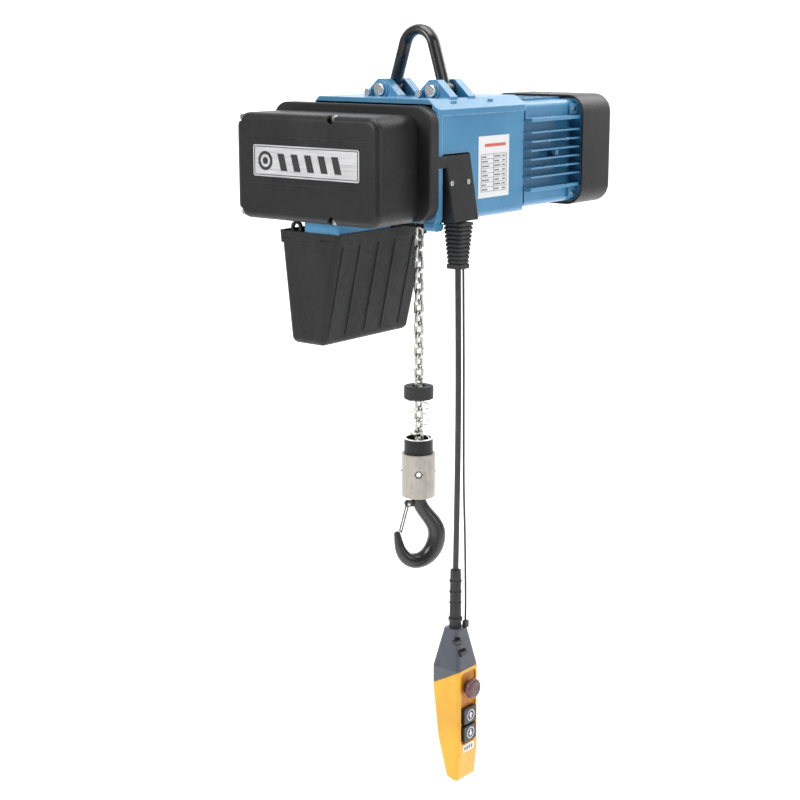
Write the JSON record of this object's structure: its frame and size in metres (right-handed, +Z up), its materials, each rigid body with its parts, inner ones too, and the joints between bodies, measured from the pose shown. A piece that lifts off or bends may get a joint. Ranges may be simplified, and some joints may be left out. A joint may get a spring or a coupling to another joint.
{
  "type": "electric chain hoist",
  "caption": "Electric chain hoist on a suspension eye, with a finned motor, chain container, spring-buffered latched hook on a load chain, and a hanging push-button pendant",
  "frame": {"origin": "the bearing point inside the top of the suspension eye, on the load line", "axes": "+Z up along the load line; +X along the motor towards the fan cover; -Y towards the side with the pendant"},
  "size_m": [0.5054, 0.3245, 1.0324],
  "materials": {
    "blue_paint": "satin cast paint",
    "black_plastic": "fine moulded grain",
    "forged_black": "black, semi-gloss, worn on edges",
    "zinc": "bright zinc",
    "satin_steel": "satin, grainy",
    "machined_steel": "ground",
    "motor_iron": "dull",
    "fan_plastic": "moulded",
    "silver_label": "printed foil",
    "white_label": "printed film",
    "black_rubber": "matte",
    "slate_plastic": "moulded",
    "yellow_plastic": "moulded",
    "orange_plastic": "moulded",
    "red_plastic": "moulded",
    "key_plastic": "moulded",
    "strap_plastic": "moulded"
  },
  "bodies": {
    "hoist_body": {"gear_housing": "blue_paint", "motor_casing": "blue_paint", "motor_end_shield": "blue_paint", "stator": "motor_iron", "fan_cover": "black_plastic", "fan_cover_screws": "zinc", "bearings": "machined_steel", "brake_magnet": "motor_iron", "chain_guide": "black_plastic", "limit_switch": "black_plastic", "wheel_chain": "zinc", "stored_chain": "zinc", "control_backplate": "black_plastic", "control_cover": "black_plastic", "cover_screws": "zinc", "nameplate": "silver_label", "rating_plate": "white_label", "contactors": "fan_plastic", "terminal_block": "fan_plastic", "supply_inlet_gland": "black_plastic", "cable_outlet_cover": "black_plastic", "outlet_screws": "zinc", "strain_relief_boot": "black_rubber", "suspension_eye": "forged_black", "suspension_pins": "zinc", "container_bracket": "blue_paint", "chain_container": "black_plastic"},
    "rotor": {"rotor_core": "motor_iron", "motor_shaft": "machined_steel", "motor_pinion": "machined_steel", "cooling_fan": "fan_plastic", "brake_disc": "motor_iron"},
    "mid_shaft": {"intermediate_gear": "machined_steel", "intermediate_shaft": "machined_steel"},
    "out_shaft": {"output_gear": "machined_steel", "output_shaft": "machined_steel", "chain_wheel": "machined_steel"},
    "brake_plate": {"brake_armature": "motor_iron"},
    "trip_lever": {"limit_lever": "black_plastic"},
    "hook_block": {"load_chain": "zinc", "buffer_cup": "black_plastic", "hook_sleeve": "satin_steel", "sleeve_bolts": "zinc", "buffer_spring": "zinc"},
    "striker": {"striker_ring": "black_rubber"},
    "hook_body": {"hook": "forged_black", "latch_pin": "zinc"},
    "latch_body": {"latch": "zinc"},
    "pendant": {"control_cable": "black_rubber", "strain_wire": "black_rubber", "pendant_boot": "black_rubber", "pendant_cap": "slate_plastic", "pendant_body": "yellow_plastic", "button_panel": "orange_plastic", "contact_blocks": "fan_plastic", "pendant_fittings": "strap_plastic"},
    "estop": {"estop_button": "red_plastic"},
    "up_key": {"up_button": "key_plastic"},
    "down_key": {"down_button": "key_plastic"}
  },
  "joints": [
    {"name": "motor_spin", "type": "hinge", "parent": "hoist_body", "child": "rotor", "pos_m": [0.2, -0.018, -0.162], "axis": [-1, 0, 0], "range_deg": [-1716.92, 5150.77]},
    {"name": "mid_spin", "type": "hinge", "parent": "hoist_body", "child": "mid_shaft", "pos_m": [0.02, -0.02965, -0.19764], "axis": [-1, 0, 0], "range_deg": [-1080.11, 360.04]},
    {"name": "wheel_spin", "type": "hinge", "parent": "hoist_body", "child": "out_shaft", "pos_m": [0, 0.02308, -0.186], "axis": [-1, 0, 0], "range_deg": [-72.01, 216.02]},
    {"name": "hook_lift", "type": "slide", "parent": "hoist_body", "child": "hook_block", "axis": [0, 0, 1], "range_m": [-0.03, 0.09001], "deforming": ["wheel_chain"]},
    {"name": "brake_release", "type": "slide", "parent": "hoist_body", "child": "brake_plate", "axis": [1, 0, 0], "range_m": [0, 0.0004], "stiffness_N_per_m": 4000, "springref_m": -0.001},
    {"name": "limit_trip", "type": "hinge", "parent": "hoist_body", "child": "trip_lever", "pos_m": [0, -0.021, -0.2495], "axis": [1, 0, 0], "range_deg": [0, 6], "stiffness_Nm_per_rad": 0.02, "springref_deg": -17.19},
    {"name": "striker_slide", "type": "slide", "parent": "hook_block", "child": "striker", "axis": [0, 0, -1], "range_m": [0, 0.035], "stiffness_N_per_m": 300, "springref_m": -0.005, "deforming": ["buffer_spring"]},
    {"name": "hook_swivel", "type": "hinge", "parent": "hook_block", "child": "hook_body", "pos_m": [0, 0, -0.615], "axis": [0, 0, 1], "continuous": true},
    {"name": "latch_swing", "type": "hinge", "parent": "hook_body", "child": "latch_body", "pos_m": [-0.01259, 0.00904, -0.644], "axis": [0.5835, 0.8121, 0], "range_deg": [-45, 0], "stiffness_Nm_per_rad": 0.02, "springref_deg": 22.92},
    {"name": "pendant_swing", "type": "hinge", "parent": "hoist_body", "child": "pendant", "pos_m": [-0.03, -0.0894, -0.3], "axis": [1, 0, 0], "range_deg": [-25, 6]},
    {"name": "estop_press", "type": "slide", "parent": "pendant", "child": "estop", "axis": [0, 1, 0], "range_m": [0, 0.004]},
    {"name": "up_press", "type": "slide", "parent": "pendant", "child": "up_key", "axis": [0, 1, 0], "range_m": [0, 0.003], "stiffness_N_per_m": 200, "springref_m": -0.003},
    {"name": "down_press", "type": "slide", "parent": "pendant", "child": "down_key", "axis": [0, 1, 0], "range_m": [0, 0.003], "stiffness_N_per_m": 200, "springref_m": -0.003}
  ],
  "couplings": [
    {"joint": "mid_spin", "follows": "motor_spin", "ratio": -0.20968},
    {"joint": "wheel_spin", "follows": "motor_spin", "ratio": 0.041935},
    {"joint": "hook_lift", "follows": "motor_spin", "m_per_rad": 0.0010011}
  ]
}
